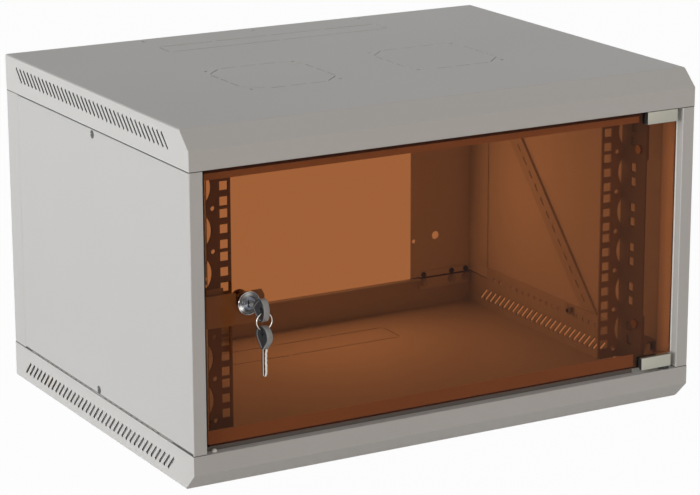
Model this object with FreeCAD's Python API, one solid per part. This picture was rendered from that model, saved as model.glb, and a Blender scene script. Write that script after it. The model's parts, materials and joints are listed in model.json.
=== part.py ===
import FreeCAD, Part
import math
import os

# Wall mount network cabinet, six rack units, glass door hinged on the right.
# Millimetres. Origin under the middle of the base, +X right, +Y to the wall, +Z up.

V = FreeCAD.Vector

# Rack standard
rack_units = 6
unit_pitch = 44.45
unit_offsets = (6.35, 22.225, 38.1)
hole_from_opening = 7.55
square_hole = 9.5

# Overall size
width = 600.0
depth = 450.0
cover_height = 39.0
end_margin = 11.65
seat_gap = 0.3

# Sheet thicknesses
cover_sheet = 1.5
post_sheet = 1.5
panel_sheet = 1.2
rail_sheet = 2.0
bracket_sheet = 2.0
brace_sheet = 1.2
stop_sheet = 1.2

# Covers
top_bevel_run = 20.0
top_face_height = 20.5
base_bevel_run = 19.0
base_bevel_rise = 19.0
front_flange = 50.0
front_lip = 10.0
rear_flange = 8.0
rear_hole_inset = 12.5
edge_round = 2.0

# Slanted vents in the side walls of both covers
vent_count = 37
vent_pitch = 10.05
vent_length = 20.5
vent_width = 3.0
vent_middle_height = 17.4
vent_row_shift = 8.4

# Knock-outs cut as thin broken lines
cut_line = 1.6
bridge = 5.0
fan_square = 114.0
fan_corner = 22.0
fan_spacing = 200.0
fan_from_front = 203.0
fan_screw_square = 105.0
fan_screw_radius = 2.2
top_entry_length = 277.0
top_entry_from_front = (370.0, 401.0)
base_entry_length = 294.0
base_entry_from_front = (357.0, 400.0)

# Front posts
post_face = 14.3
post_return = 9.5
post_depth = 40.0
post_rear_lip = 13.0
cap_width = 11.5
cap_length = 27.5
cap_bolt_inset = 6.0

# Rear posts
rear_strip = 29.0
rear_plate_width = 84.5
rear_step = 15.0
tab_from_side = (3.0, 73.0)
tab_drop = 14.0
tab_rise = 8.0
tab_studs_from_side = (8.0, 28.0, 67.6)
tab_stud_drop = 5.5
tab_rivet_rise = 4.0
tab_rivet_head = 3.2
wall_hole_radius = 5.0
wall_hole_from_edge = 50.0
wall_hole_height = 90.0
small_hole_radius = 2.5
small_hole_from_edge = 80.5
small_hole_height = 86.0

# Side panels
panel_gap_low = 2.0
panel_gap_high = 3.0
panel_screw_height = 6.6
panel_screw_head = 4.5
panel_screw_shank = 2.4
driver_slot = 1.0
slot_depth = 0.6
clip_length = 16.0
clip_height = 11.0
clip_sheet = 1.0
clip_barrel = 4.0
clip_wall = 1.5

# Perforated side strips along the covers
strip_low = 12.0
strip_high = 14.0
strip_hole = 4.6
strip_hole_pitch = 12.7
strip_hole_count = 28
strip_hole_height = 2.0
strip_hole_last = 388.7

# Diagonal braces on the side panels
brace_width = 25.0
brace_lip = 1.5
brace_start = 170.0
brace_angle = 47.2
brace_slot_pitch = 18.5
brace_slot_length = 10.0
brace_slot_width = 3.0

# Nineteen inch rails
rail_setback = 63.7
rail_from_side = 75.0
rail_face = 29.0
rail_side = 44.2
rail_end_gap = 2.0
rail_pin_radius = 2.5
rail_pin_offset = 12.3
bend_cut_height = 29.5
bend_cut_depth = 5.5
side_hole_offsets = (14.29, 30.16)
side_hole_depth = 19.7

# Rail brackets
bracket_rise = 44.0
bracket_drop = 12.0
bracket_bolt_height = 47.6
bracket_bolt_inset = 10.5
bracket_gusset = 28.0
bracket_reach = 11.0

# Door glass
glass_sheet = 5.0
glass_front = 4.8
glass_side_gap = 4.4
glass_gap_low = 6.0
glass_gap_high = 1.5
glass_edge = 0.8

# Hinge clamps and pivots
clamp_length = 38.5
clamp_inset = 2.5
clamp_height = 13.4
clamp_plate = 3.2
clamp_face = 4.2
clamp_pad = 0.5
pad_overhang = 1.2
clamp_end_block = 16.0
clamp_gap_low = 3.8
clamp_gap_high = 0.6
pivot_inset = 7.5
pivot_radius = 2.5
pivot_depth = 8.0
pivot_fit = 0.05
pivot_head_radius = 5.0
pivot_head_height = 3.5
washer_radius = 6.0
clamp_screw_radius = 1.5
clamp_screw_places = (8.0, 19.0)
clamp_screw_sunk = 0.4
clamp_chamfer = 1.0
hex_socket = 1.5
hex_socket_depth = 1.6

# Cam lock
lock_from_edge = 43.0
lock_height = 190.0
lock_flange_radius = 14.0
lock_flange = 2.0
lock_face_radius = 11.5
lock_proud = 9.8
lock_recess = 1.0
lock_rim = 1.0
lock_bead = 0.6
lock_flare = 1.2
lock_barrel_radius = 9.0
lock_barrel_end = 21.5
plug_radius = 7.0
plug_fit = 0.05
plug_square = 7.0
cam_sheet = 2.4
cam_reach = 30.0
cam_width = 14.0
cam_fit = 0.05
cam_screw_radius = 4.5
cam_screw_height = 2.6
cam_screw_core = 1.55
cam_screw_length = 3.5
cam_screw_slot = 1.2
nut_across = 24.0
nut_height = 4.0

# Plate behind the glass and keeper on the left post
lock_plate_sheet = 1.5
lock_plate_gasket = 0.2
lock_plate_left = 3.0
lock_plate_right = 23.0
lock_plate_up = 9.0
lock_plate_down = 24.0
lock_plate_corner = 6.0
keeper_sheet = 1.5
keeper_reach = 41.0
keeper_height = 26.0
keeper_leg = 18.0
keeper_to_cam = 1.0
rivet_radius = 2.0
rivet_spacing = 16.0
rivet_head = 1.2

# Keys and their ring
blade_thick = 2.2
blade_wide = 8.0
blade_in_lock = 20.0
bow_thick = 6.5
bow_radius = 11.75
bow_edge = 1.2
bow_start = 12.0
bow_hole_radius = 4.0
bow_hole_inset = 5.6
ring_radius = 8.5
ring_wire = 0.7
ring_rest = 1.4
spare_blade = 28.0
blade_in_bow = 6.0
blade_tip = 2.0
blade_groove = 1.4
groove_depth = 0.6
tooth_count = 6
tooth_depth = 1.4

# Fasteners
pin_sides = 8
head_sides = 12
bow_sides = 32
bolt_radius = 2.5
bolt_head_across = 9.0
bolt_head_height = 3.2
bolt_clearance = 0.3
bolt_tail = 1.5
stud_radius = 3.0
stud_length = 16.0
bumper_radius = 2.6
bumper_height = 2.4
bumper_chamfer = 1.0
earth_from_side = 15.0
earth_from_back = 60.0
earth_nut_across = 10.0
earth_nut_height = 4.5
earth_nut_step = 6.0

# Door stops behind the glass
stop_low_height = 21.0
stop_high_height = 12.2
stop_leg = 12.0
stop_from_clamp = 6.0

# Derived places
frame_height = rack_units * unit_pitch + 2 * end_margin
height = frame_height + 2 * cover_height
low = cover_height
high = low + frame_height
front = -depth / 2
back = depth / 2
half = width / 2
flush = half - seat_gap
panel_inner = flush - panel_sheet
post_inner = flush - post_face
wall_inner = half - cover_sheet
glass_half = post_inner - glass_side_gap
glass_y0 = front + glass_front
glass_y1 = glass_y0 + glass_sheet
glass_low = low + glass_gap_low
glass_high = high - glass_gap_high
glass_middle = (glass_y0 + glass_y1) / 2
clamp_x1 = glass_half - clamp_inset
clamp_x0 = clamp_x1 - clamp_length
pivot_x = glass_half - pivot_inset
lock_x = -glass_half + lock_from_edge
rail_opening = width - 2 * rail_from_side
hole_columns = rail_opening + 2 * hole_from_opening
rail_bend = rail_opening / 2 + rail_face
rail_front = front + rail_setback
rail_low = low + rail_end_gap
rail_high = high - rail_end_gap
first_unit = low + end_margin
ring_y = glass_y0 - lock_proud - bow_start - 2 * bow_radius + bow_hole_inset


# Plain solids
def box(x0, y0, z0, x1, y1, z1):
    return Part.makeBox(x1 - x0, y1 - y0, z1 - z0, V(x0, y0, z0))


def prism(points, direction):
    wire = Part.makePolygon(points + [points[0]])
    return Part.Face(wire).extrude(direction)


def prism_x(outline, x0, x1):
    return prism([V(x0, y, z) for y, z in outline], V(x1 - x0, 0, 0))


def prism_y(outline, y0, y1):
    return prism([V(x, y0, z) for x, z in outline], V(0, y1 - y0, 0))


def prism_z(outline, z0, z1):
    return prism([V(x, y, z0) for x, y in outline], V(0, 0, z1 - z0))


def rod_x(x0, x1, y, z, radius):
    return Part.makeCylinder(radius, x1 - x0, V(x0, y, z), V(1, 0, 0))


def rod_y(y0, y1, x, z, radius):
    return Part.makeCylinder(radius, y1 - y0, V(x, y0, z), V(0, 1, 0))


def rod_z(z0, z1, x, y, radius):
    return Part.makeCylinder(radius, z1 - z0, V(x, y, z0), V(0, 0, 1))


def hexagon(across):
    corner = across / math.sqrt(3)
    angles = [math.radians(60 * k) for k in range(6)]
    return [(corner * math.cos(a), corner * math.sin(a)) for a in angles]


# Small round parts are regular polygons whose flats lie at the radius
def polygon(radius, sides):
    corner = radius / math.cos(math.pi / sides)
    angles = [2 * math.pi * (k + 0.5) / sides for k in range(sides)]
    return [(corner * math.cos(a), corner * math.sin(a)) for a in angles]


def pin_x(x0, x1, y, z, radius, sides=pin_sides):
    return prism_x([(y + p, z + q) for p, q in polygon(radius, sides)], x0, x1)


def pin_y(y0, y1, x, z, radius, sides=pin_sides):
    return prism_y([(x + p, z + q) for p, q in polygon(radius, sides)], y0, y1)


def pin_z(z0, z1, x, y, radius, sides=pin_sides):
    return prism_z([(x + p, y + q) for p, q in polygon(radius, sides)], z0, z1)


# A convex outline moved inwards by one wall
def inset(outline, wall):
    moved = []
    count = len(outline)
    for k in range(count):
        x0, y0 = outline[k - 1]
        x1, y1 = outline[k]
        x2, y2 = outline[(k + 1) % count]
        ax, ay = x1 - x0, y1 - y0
        bx, by = x2 - x1, y2 - y1
        la, lb = math.hypot(ax, ay), math.hypot(bx, by)
        px, py = x1 - ay / la * wall, y1 + ax / la * wall
        qx, qy = x1 - by / lb * wall, y1 + bx / lb * wall
        t = ((qx - px) * by - (qy - py) * bx) / (ax * by - ay * bx)
        moved.append((px + ax * t, py + ay * t))
    return moved


def mirror_x(shape):
    return shape.mirror(V(0, 0, 0), V(1, 0, 0))


def upside_down(shape):
    return shape.mirror(V(0, 0, height / 2), V(0, 0, 1))


def half_turn(shape):
    other = shape.copy()
    other.rotate(V(0, rail_front, 0), V(0, 0, 1), 180)
    return other


def fused(shapes):
    return shapes[0].multiFuse(shapes[1:]).removeSplitter()


def save(name, shapes):
    solids = []
    for shape in shapes:
        solids.extend(shape.Solids)
    result = solids[0] if len(solids) == 1 else Part.makeCompound(solids)
    result.exportStep("parts/" + name + ".step")


# A thin cut along a straight line on a level sheet, broken into equal runs
def broken_line(x0, y0, x1, y1, runs, z0, z1):
    length = math.hypot(x1 - x0, y1 - y0)
    ux, uy = (x1 - x0) / length, (y1 - y0) / length
    run = (length - bridge * runs) / runs
    cuts = []
    for k in range(runs):
        s0 = bridge / 2 + k * (run + bridge)
        s1 = s0 + run
        nx, ny = -uy * cut_line / 2, ux * cut_line / 2
        corners = [(s0, 1), (s1, 1), (s1, -1), (s0, -1)]
        outline = [(x0 + ux * s + nx * side, y0 + uy * s + ny * side) for s, side in corners]
        cuts.append(prism_z(outline, z0, z1))
    return cuts


def fan_knockout(x, y, z0, z1):
    far = fan_square / 2
    near = far - fan_corner
    corners = [(near, -far), (far, -near), (far, near), (near, far)]
    corners += [(-near, far), (-far, near), (-far, -near), (-near, -far)]
    cuts = []
    for k in range(8):
        ax, ay = corners[k]
        bx, by = corners[(k + 1) % 8]
        runs = 1 if k % 2 == 0 else 3
        cuts += broken_line(x + ax, y + ay, x + bx, y + by, runs, z0, z1)
    step = fan_screw_square / 2
    for sx in (-step, step):
        for sy in (-step, step):
            cuts.append(pin_z(z0, z1, x + sx, y + sy, fan_screw_radius))
    return cuts


def entry_knockout(length, from_front, z0, z1):
    x0, x1 = -length / 2, length / 2
    y0, y1 = front + from_front[0], front + from_front[1]
    cuts = broken_line(x0, y0, x1, y0, 2, z0, z1)
    cuts += broken_line(x0, y1, x1, y1, 4, z0, z1)
    cuts += broken_line(x0, y0, x0, y1, 1, z0, z1)
    cuts += broken_line(x1, y0, x1, y1, 1, z0, z1)
    return cuts


# Slanted slots, upper end nearer the front on the base
def vent_row():
    middle = vent_row_shift
    along = (vent_length - vent_width) / 2 / math.sqrt(2)
    across = vent_width / 2 / math.sqrt(2)
    cuts = []
    for k in range(vent_count):
        y = middle + (k - (vent_count - 1) / 2) * vent_pitch
        z = vent_middle_height
        tip = along + across
        outline = [(y - tip - across, z + tip - across), (y - tip + across, z + tip + across)]
        outline += [(y + tip + across, z - tip + across), (y + tip - across, z - tip - across)]
        cuts.append(prism_x(outline, -half - 1, half + 1))
    return cuts


# One pressed pan: plate, bevelled front, rear wall, side walls and return flanges
def pan(bevel_run, bevel_rise):
    outline = [(front + bevel_run, 0), (back, 0), (back, cover_height)]
    outline += [(front, cover_height), (front, bevel_rise)]
    outer = prism_x(outline, -half, half)
    long_edges = []
    for edge in outer.Edges:
        box_of = edge.BoundBox
        level = abs(box_of.ZMin) < 0.001 and box_of.ZLength < 0.001
        if level and box_of.XLength < 0.001:
            long_edges.append(edge)
    outer = outer.makeFillet(edge_round, long_edges)
    hollow = prism_x(inset(outline, cover_sheet), -wall_inner, wall_inner)
    mouth = box(-wall_inner, front + front_flange, cover_height - 2 * cover_sheet,
                wall_inner, back - rear_flange, cover_height + 1)
    shell = outer.cut([hollow, mouth])
    lip = box(-wall_inner, front + front_flange - cover_sheet, cover_height - front_lip,
              wall_inner, front + front_flange, cover_height)
    shell = fused([shell, lip])
    return shell.cut(vent_row())


# Where a front post is bolted to the covers, right side
def cap_bolt_place():
    return panel_inner - post_sheet - cap_bolt_inset, front + post_depth - cap_length / 2


# Holes for the front posts, and room for the rear posts' tabs with their studs
def frame_cuts():
    x, y = cap_bolt_place()
    cuts = [pin_z(cover_height - 3 * cover_sheet, cover_height + 1, x, y, bolt_radius + bolt_clearance)]
    tab_x0, tab_x1 = half - tab_from_side[1], half - tab_from_side[0]
    cuts.append(box(tab_x0 - seat_gap, back - rear_flange - 1, cover_height - 2 * cover_sheet,
                    tab_x1 + seat_gap, back - cover_sheet, cover_height + 1))
    for x in tab_stud_places():
        cuts.append(pin_y(back - 2 * cover_sheet, back + 1, x, low - tab_stud_drop, bolt_radius))
    return cuts + [mirror_x(cut) for cut in cuts]


def tab_stud_places():
    return [half - inwards for inwards in tab_studs_from_side]


def base_tray():
    tray = pan(base_bevel_run, base_bevel_rise)
    cuts = frame_cuts()
    cuts += entry_knockout(base_entry_length, base_entry_from_front, -1, 2 * cover_sheet)
    cuts.append(rod_z(low - 3 * cover_sheet, low + 1, pivot_x, glass_middle, pivot_radius))
    cuts.append(pin_z(low - 3 * cover_sheet, low + 1, -pivot_x, glass_middle, bumper_radius))
    return tray.cut(cuts)


def top_cover():
    cover = pan(top_bevel_run, cover_height - top_face_height)
    cuts = frame_cuts()
    cuts += entry_knockout(top_entry_length, top_entry_from_front, -1, 2 * cover_sheet)
    cuts += fan_knockout(-fan_spacing / 2, front + fan_from_front, -1, 2 * cover_sheet)
    cuts += fan_knockout(fan_spacing / 2, front + fan_from_front, -1, 2 * cover_sheet)
    for x in (-top_entry_length / 2, 0, top_entry_length / 2):
        cuts.append(pin_z(-1, 2 * cover_sheet, x, back - rear_hole_inset, fan_screw_radius))
    cuts.append(rod_z(low - 3 * cover_sheet, low + 1, pivot_x, glass_middle, pivot_radius))
    return upside_down(cover.cut(cuts))


# Folded front post, right side
def front_post():
    s = post_sheet
    outer = panel_inner
    outline = [(post_inner, 0), (flush, 0), (flush, s), (outer, s), (outer, post_depth)]
    outline += [(outer - post_rear_lip, post_depth), (outer - post_rear_lip, post_depth - s)]
    outline += [(outer - s, post_depth - s), (outer - s, s), (post_inner + s, s)]
    outline += [(post_inner + s, post_return), (post_inner, post_return)]
    channel = prism_z([(x, front + y) for x, y in outline], low, high)
    x1 = outer - s / 2
    y1 = front + post_depth - s / 2
    caps = [box(x1 - cap_width, y1 - cap_length, z, x1, y1, z + s) for z in (low, high - s)]
    post = fused([channel] + caps)
    x, y = cap_bolt_place()
    return post.cut(pin_z(low - 1, high + 1, x, y, bolt_radius + bolt_clearance))


# Rear post: side strip, panel step, the wide plate that goes on the wall and its two tabs
def rear_post():
    s = post_sheet
    outer = flush
    inner = half - rear_plate_width
    strip_y = back - rear_strip
    step_y = strip_y - rear_step
    outline = [(inner, back - s), (inner, back), (outer, back), (outer, strip_y)]
    outline += [(panel_inner, strip_y), (panel_inner, step_y), (panel_inner - s, step_y)]
    outline += [(panel_inner - s, strip_y + s), (outer - s, strip_y + s), (outer - s, back - s)]
    post = prism_z(outline, low, high)
    tab = box(half - tab_from_side[1], back - 2 * s, low - tab_drop,
              half - tab_from_side[0], back - s, low + tab_rise)
    post = fused([post, tab, upside_down(tab)])
    cuts = []
    for x in tab_stud_places():
        for z, radius in ((low - tab_stud_drop, bolt_radius), (low + tab_rivet_rise, rivet_radius)):
            hole = pin_y(back - 3 * s, back + 1, x, z, radius)
            cuts += [hole, upside_down(hole)]
    for z in (wall_hole_height, height - wall_hole_height):
        cuts.append(rod_y(back - 2 * s, back + 1, half - wall_hole_from_edge, z, wall_hole_radius))
    for z in (small_hole_height, height - small_hole_height):
        x = half - small_hole_from_edge
        cuts.append(pin_y(back - 2 * s, back + 1, x, z, small_hole_radius, head_sides))
    return post.cut(cuts)


# Side panel with countersunk holes top and bottom, right side
def side_panel():
    y0 = front + post_sheet + seat_gap
    y1 = back - rear_strip - seat_gap
    panel = box(panel_inner, y0, low + panel_gap_low, flush, y1, high - panel_gap_high)
    for z in panel_screw_levels():
        panel = panel.cut(panel_screw_cone(z, panel_screw_shank, panel_screw_head))
    return panel


def panel_screw_levels():
    return (low + panel_screw_height, high - panel_screw_height)


def panel_screw_cone(z, small, large):
    ends = []
    for x, radius in ((panel_inner, small), (flush, large)):
        points = [V(x, p, z + q) for p, q in polygon(radius, 2 * pin_sides)]
        ends.append(Part.makePolygon(points + [points[0]]))
    return Part.makeLoft(ends, True, True)


def panel_screws():
    screws = []
    for z in panel_screw_levels():
        head = panel_screw_cone(z, panel_screw_shank, panel_screw_head)
        shank_end = panel_inner - 4 * post_sheet
        shank = pin_x(shank_end, panel_inner, 0, z, panel_screw_shank, 2 * pin_sides)
        screw = fused([head, shank])
        slot = box(flush - slot_depth, -panel_screw_head, z - driver_slot / 2,
                   flush + 1, panel_screw_head, z + driver_slot / 2)
        screw = screw.cut(slot)
        screws += [screw, mirror_x(screw)]
    return screws


# Spring nut behind each panel screw
def panel_clips():
    clips = []
    x1 = panel_inner - post_sheet
    for z in panel_screw_levels():
        plate = box(x1 - clip_sheet, -clip_length / 2, z - clip_height / 2,
                    x1, clip_length / 2, z + clip_height / 2)
        barrel = pin_x(x1 - clip_barrel, x1 - clip_sheet / 2, 0, z, panel_screw_shank + clip_wall)
        clip = fused([plate, barrel])
        clip = clip.cut(pin_x(x1 - clip_barrel - 1, x1 + 1, 0, z, panel_screw_shank, 2 * pin_sides))
        clips += [clip, mirror_x(clip)]
    return clips


# Perforated strip that stands up inside the base wall, right side
def side_strip():
    x1 = panel_inner
    x0 = x1 - post_sheet
    y0 = front + front_flange + seat_gap
    y1 = back - rear_strip - rear_step - seat_gap
    strip = box(x0, y0, low - strip_low, x1, y1, low + strip_high)
    cuts = []
    for k in range(strip_hole_count):
        y = front + strip_hole_last - k * strip_hole_pitch
        z = low + strip_hole_height
        if abs(y) > strip_hole_pitch and abs(y - rail_front) > strip_hole_pitch:
            h = strip_hole / 2
            cuts.append(box(x0 - 1, y - h, z - h, x1 + 1, y + h, z + h))
    cuts.append(pin_x(x0 - 1, x1 + 1, 0, low + panel_screw_height, panel_screw_shank, 2 * pin_sides))
    cuts.append(pin_x(x0 - 1, x1 + 1, rail_front, strip_bolt_level(), bolt_radius))
    return strip.cut(cuts)


# Slotted diagonal brace with a folded front edge, right side
def panel_brace():
    x1 = panel_inner
    x0 = x1 - brace_sheet
    z0 = low + strip_high + seat_gap
    z1 = high - strip_high - seat_gap
    lean = 1 / math.tan(math.radians(brace_angle))
    wide = brace_width / math.sin(math.radians(brace_angle))
    fold = brace_sheet / math.sin(math.radians(brace_angle))
    y0 = front + brace_start
    y1 = y0 + (z1 - z0) * lean
    strip = prism_x([(y0, z0), (y0 + wide, z0), (y1 + wide, z1), (y1, z1)], x0, x1)
    lip = prism_x([(y0, z0), (y0 + fold, z0), (y1 + fold, z1), (y1, z1)], x0 - brace_lip, x0 + 0.1)
    brace = fused([strip, lip])
    rear_end = back - rear_strip - rear_step - seat_gap
    brace = brace.common(box(x0 - brace_lip - 1, y0 - 1, z0 - 1, x1 + 1, rear_end, z1 + 1))
    ux, uz = math.cos(math.radians(brace_angle)), math.sin(math.radians(brace_angle))
    length = (z1 - z0) / uz
    count = int(length / brace_slot_pitch) - 1
    cuts = []
    for k in range(count):
        s = (k + 1) * brace_slot_pitch
        middle_y = y0 + wide / 2 + s * ux
        middle_z = z0 + s * uz
        if middle_y + brace_slot_pitch / 2 > rear_end:
            break
        a, b = brace_slot_length / 2, brace_slot_width / 2
        corners = [(-a, -b), (a, -b), (a, b), (-a, b)]
        outline = [(middle_y + p * ux - q * uz, middle_z + p * uz + q * ux) for p, q in corners]
        cuts.append(prism_x(outline, x0 - 1, x1 + 1))
    return brace.cut(cuts)


# Square hole through a sheet that faces the front
def square_cut(x, z, y0, y1):
    h = square_hole / 2
    return box(x - h, y0, z - h, x + h, y1, z + h)


# Nineteen inch rail, right side: face flange and a side flange that comes forward
def rail():
    s = rail_sheet
    y0 = rail_front
    face = box(rail_opening / 2, y0, rail_low, rail_bend, y0 + s, rail_high)
    side = box(rail_bend - s, y0 + s - rail_side, rail_low, rail_bend, y0 + s, rail_high)
    body = fused([face, side])
    cuts = []
    for unit in range(rack_units):
        floor = first_unit + unit * unit_pitch
        for offset in unit_offsets:
            cuts.append(square_cut(hole_columns / 2, floor + offset, y0 - 1, y0 + s + 1))
        for offset in side_hole_offsets:
            y = y0 - side_hole_depth
            h = square_hole / 2
            z = floor + offset
            cuts.append(box(rail_bend - s - 1, y - h, z - h, rail_bend + 1, y + h, z + h))
        cuts.append(bend_cut(floor + unit_pitch / 2))
        x = hole_columns / 2 + rail_pin_offset
        cuts.append(pin_y(y0 - 1, y0 + s + 1, x, floor, rail_pin_radius, head_sides))
    for bolt_y, z in bracket_bolts():
        cuts.append(pin_x(rail_bend - s - 1, rail_bend + 1, bolt_y, z, bolt_radius + bolt_clearance))
    return body.cut(cuts)


# Half-moon cut beside the bend
def bend_cut(z):
    half_chord = bend_cut_height / 2
    radius = (half_chord ** 2 + bend_cut_depth ** 2) / (2 * bend_cut_depth)
    x = rail_bend - rail_sheet
    disc = rod_y(rail_front - 1, rail_front + rail_sheet + 1, x - bend_cut_depth + radius, z, radius)
    keep = box(x - bend_cut_depth - 1, rail_front - 1, z - half_chord, x,
               rail_front + rail_sheet + 1, z + half_chord)
    return disc.common(keep)


def bracket_bolts():
    y = rail_front + rail_sheet - rail_side + bracket_bolt_inset
    return [(y, low + bracket_bolt_height), (y, high - bracket_bolt_height)]


# Bracket between the side strip and the rail, lower right
def rail_bracket():
    s = bracket_sheet
    strip_face = panel_inner - post_sheet
    z0 = low + strip_high - bracket_drop
    z1 = low + strip_high
    y0 = rail_front - bracket_reach
    y1 = rail_front + bracket_reach
    wall_leg = box(strip_face - s, y0, z0, strip_face, y1, z1 + s)
    web = box(rail_bend, y0, z1, strip_face, y1, z1 + s)
    rail_y0 = rail_front + rail_sheet - rail_side
    corner_x = rail_bend + bracket_gusset
    outline = [(rail_bend, rail_y0), (rail_bend + s, rail_y0), (corner_x, y0), (corner_x, y0 + 1)]
    gusset = prism_z(outline + [(rail_bend, y0 + 1)], z1, z1 + s)
    rail_leg = box(rail_bend, rail_y0, z1, rail_bend + s, rail_front + rail_sheet,
                   low + strip_high + bracket_rise)
    body = fused([wall_leg, web, gusset, rail_leg])
    bolt_y, bolt_z = bracket_bolts()[0]
    radius = bolt_radius + bolt_clearance
    cuts = [pin_x(rail_bend - 1, rail_bend + s + 1, bolt_y, bolt_z, radius)]
    cuts.append(pin_x(strip_face - s - 1, strip_face + 1, rail_front, strip_bolt_level(), radius))
    return body.cut(cuts)


def strip_bolt_level():
    return low + strip_high - bracket_drop / 2


# Hexagon head bolt along +X with its head at the low end
def bolt_x(x_head, length, y, z):
    outline = [(y + p, z + q) for p, q in hexagon(bolt_head_across)]
    head = prism_x(outline, x_head - bolt_head_height, x_head)
    return fused([head, pin_x(x_head, x_head + length, y, z, bolt_radius)])


def nut_x(x0, y, z):
    outline = [(y + p, z + q) for p, q in hexagon(bolt_head_across)]
    nut = prism_x(outline, x0, x0 + bolt_head_height)
    return nut.cut(pin_x(x0 - 1, x0 + bolt_head_height + 1, y, z, bolt_radius))


def rail_bolts():
    bolts = []
    nuts = []
    grip = rail_sheet + bracket_sheet
    for y, z in bracket_bolts():
        bolt = bolt_x(rail_bend - rail_sheet, grip + bolt_head_height + bolt_tail, y, z)
        nut = nut_x(rail_bend + bracket_sheet, y, z)
        bolts += [bolt, half_turn(bolt)]
        nuts += [nut, half_turn(nut)]
    return bolts, nuts


# Short bolts that hold the brackets on the perforated strips
def strip_bolts():
    head = panel_inner - post_sheet - bracket_sheet
    bolt = bolt_x(head, bracket_sheet + post_sheet, rail_front, strip_bolt_level())
    right = [bolt, upside_down(bolt)]
    return right + [half_turn(shape) for shape in right]


# Hexagon head bolt along Z through a foot and a cover flange
def frame_bolt(x, y):
    outline = [(x + p, y + q) for p, q in hexagon(bolt_head_across)]
    top = low + post_sheet
    head = prism_z(outline, top, top + bolt_head_height)
    shank = pin_z(low - cover_sheet - bolt_head_height - bolt_tail, top, x, y, bolt_radius)
    return fused([head, shank])


def frame_nut(x, y):
    outline = [(x + p, y + q) for p, q in hexagon(bolt_head_across)]
    z1 = low - cover_sheet
    nut = prism_z(outline, z1 - bolt_head_height, z1)
    return nut.cut(pin_z(z1 - bolt_head_height - 1, z1 + 1, x, y, bolt_radius))


# Stud pressed flush in a cover's rear wall, and its nut on the tab
def tab_stud(x):
    return pin_y(back - 2 * cover_sheet - bolt_head_height - bolt_tail, back, x,
                 low - tab_stud_drop, bolt_radius)


def tab_nut(x):
    z = low - tab_stud_drop
    y1 = back - 2 * post_sheet
    outline = [(x + p, z + q) for p, q in hexagon(bolt_head_across)]
    nut = prism_y(outline, y1 - bolt_head_height, y1)
    return nut.cut(pin_y(y1 - bolt_head_height - 1, y1 + 1, x, z, bolt_radius))


def tab_rivet(x):
    z = low + tab_rivet_rise
    y1 = back - 2 * post_sheet
    return fused([pin_y(y1 - rivet_head, y1, x, z, tab_rivet_head), pin_y(y1, back, x, z, rivet_radius)])


def all_corners(shape):
    pair = [shape, upside_down(shape)]
    return pair + [mirror_x(other) for other in pair]


def frame_fasteners():
    x, y = cap_bolt_place()
    bolts = all_corners(frame_bolt(x, y))
    nuts = all_corners(frame_nut(x, y))
    rivets = []
    for x in tab_stud_places():
        bolts += all_corners(tab_stud(x))
        nuts += all_corners(tab_nut(x))
        rivets += all_corners(tab_rivet(x))
    return bolts, nuts, rivets


# Glass leaf with notched hinge corners and the lock hole
def door_glass():
    glass = box(-glass_half, glass_y0, glass_low, glass_half, glass_y1, glass_high)
    rim = [e for e in glass.Edges if e.BoundBox.YLength < 0.001]
    glass = glass.makeChamfer(glass_edge, rim)
    x0 = clamp_x1 - clamp_end_block - seat_gap
    reach_low = low + clamp_gap_low + clamp_height
    reach_high = high - clamp_gap_high - clamp_height
    notches = [box(x0, glass_y0 - 1, glass_low - 1, glass_half + 1, glass_y1 + 1, reach_low + seat_gap)]
    notches.append(box(x0, glass_y0 - 1, reach_high - seat_gap, glass_half + 1, glass_y1 + 1,
                       glass_high + 1))
    hole = rod_y(glass_y0 - 1, glass_y1 + 1, lock_x, lock_height, lock_barrel_radius + seat_gap)
    return glass.cut(notches + [hole])


# Clamp that grips a corner of the glass, at the bottom
def hinge_clamp():
    z0 = low + clamp_gap_low
    z1 = z0 + clamp_height
    y0 = glass_y0 - clamp_pad - clamp_face
    y1 = glass_y1 + clamp_pad + clamp_plate
    body = box(clamp_x0, y0, z0, clamp_x1, y1, z1)
    upright = [e for e in body.Edges if e.BoundBox.YLength > clamp_plate]
    body = body.makeChamfer(clamp_chamfer, upright)
    slot = box(clamp_x0 - 1, glass_y0 - clamp_pad, z0 - 1, clamp_x1 - clamp_end_block,
               glass_y1 + clamp_pad, z1 + 1)
    bore = rod_z(z0 - 1, z0 + pivot_depth, pivot_x, glass_middle, pivot_radius + pivot_fit)
    cuts = [slot, bore]
    for step in clamp_screw_places:
        cuts.append(pin_y(y1 - clamp_plate - 1, y1 + 1, clamp_x0 + step, (z0 + z1) / 2,
                          clamp_screw_radius, head_sides))
    return body.cut(cuts)


def clamp_pads():
    z0 = max(low + clamp_gap_low, glass_low)
    z1 = low + clamp_gap_low + clamp_height
    x0 = clamp_x0 - pad_overhang
    x1 = clamp_x1 - clamp_end_block - seat_gap
    pads = [box(x0, glass_y0 - clamp_pad, z0, x1, glass_y0, z1),
            box(x0, glass_y1, z0, x1, glass_y1 + clamp_pad, z1)]
    return pads + [upside_clamp(pad) for pad in pads]


# The upper clamp is the lower one upside down, closer to its cover
def upside_clamp(shape):
    upper = upside_down(shape)
    upper.translate(V(0, 0, clamp_gap_low - clamp_gap_high))
    return upper


def clamp_screws():
    screws = []
    z = low + clamp_gap_low + clamp_height / 2
    y1 = glass_y1 + clamp_pad + clamp_plate
    for step in clamp_screw_places:
        x = clamp_x0 + step
        screw = pin_y(glass_y1 + clamp_pad, y1 - clamp_screw_sunk, x, z, clamp_screw_radius, head_sides)
        socket = [(x + p, z + q) for p, q in hexagon(hex_socket)]
        screw = screw.cut(prism_y(socket, y1 - hex_socket_depth, y1))
        screws += [screw, upside_clamp(screw)]
    return screws


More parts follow.
